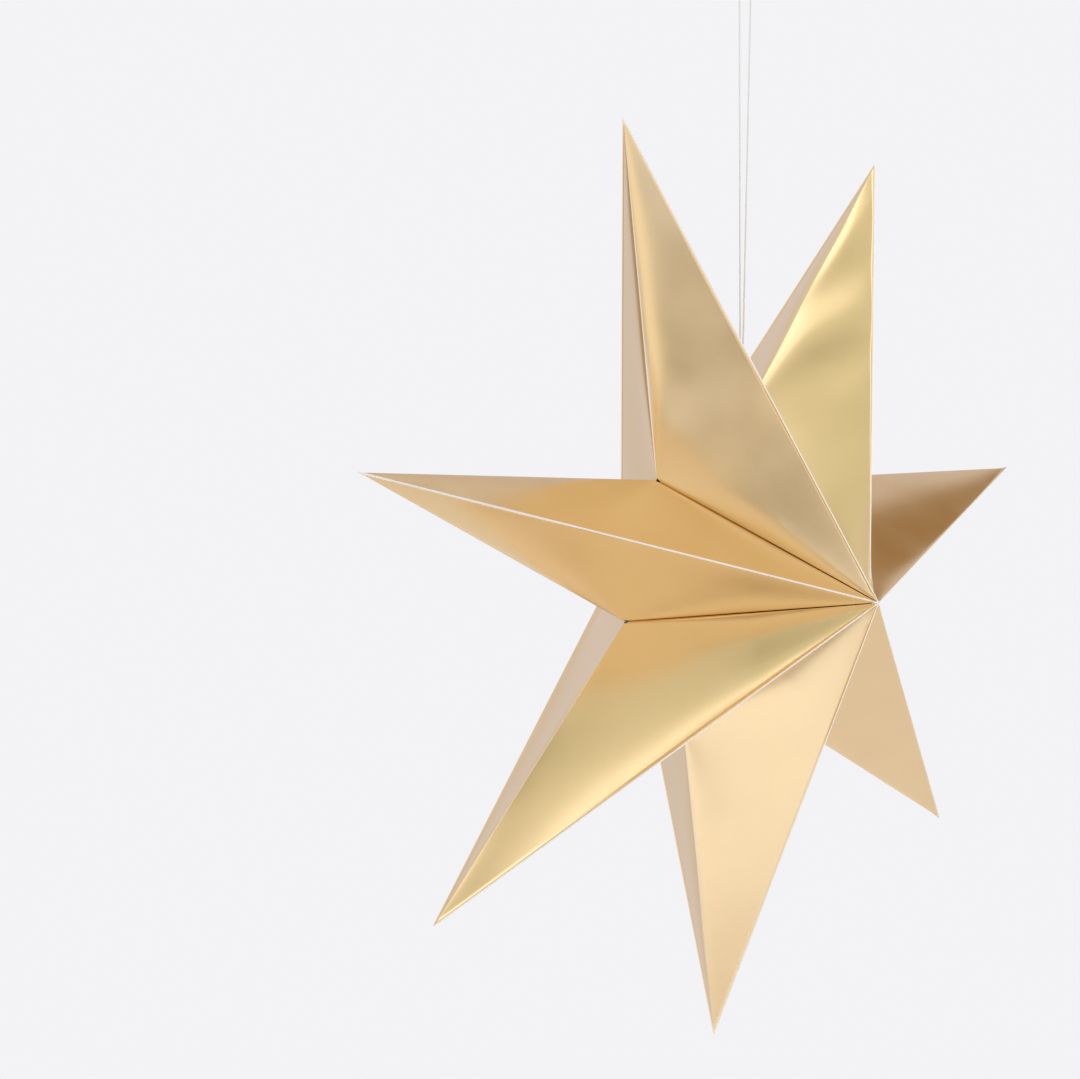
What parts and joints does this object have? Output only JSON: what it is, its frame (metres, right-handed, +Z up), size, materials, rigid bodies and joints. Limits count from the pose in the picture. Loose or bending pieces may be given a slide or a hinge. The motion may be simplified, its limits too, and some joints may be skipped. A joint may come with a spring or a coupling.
{
  "type": "folded card star",
  "caption": "Hollow star of gold foil card with long creased rays, opened all round from a flat stack, hung by a white cord loop from its top valley.",
  "frame": {"origin": "inside of the top of the cord loop, where a hook carries it", "axes": "+Z up along the hanging cord; +Y through the star from its front point to its back point; +X to the right seen from the front"},
  "size_m": [0.5824, 0.2218, 0.6726],
  "materials": {
    "gold_card": "satin gold foil laminated to white card",
    "white_cord": "twisted cotton cord"
  },
  "bodies": {
    "root": {"ray_1_left_card": "gold_card", "ray_1_right_card": "gold_card", "ray_2_left_card": "gold_card", "ray_2_right_card": "gold_card", "ray_3_left_card": "gold_card", "ray_3_right_card": "gold_card", "ray_4_left_card": "gold_card", "ray_4_right_card": "gold_card", "ray_5_left_card": "gold_card", "ray_5_right_card": "gold_card", "ray_6_left_card": "gold_card", "ray_6_right_card": "gold_card", "ray_7_left_card": "gold_card", "ray_7_right_card": "gold_card", "cord_knot": "white_cord", "hanging_cord": "white_cord"}
  },
  "joints": []
}
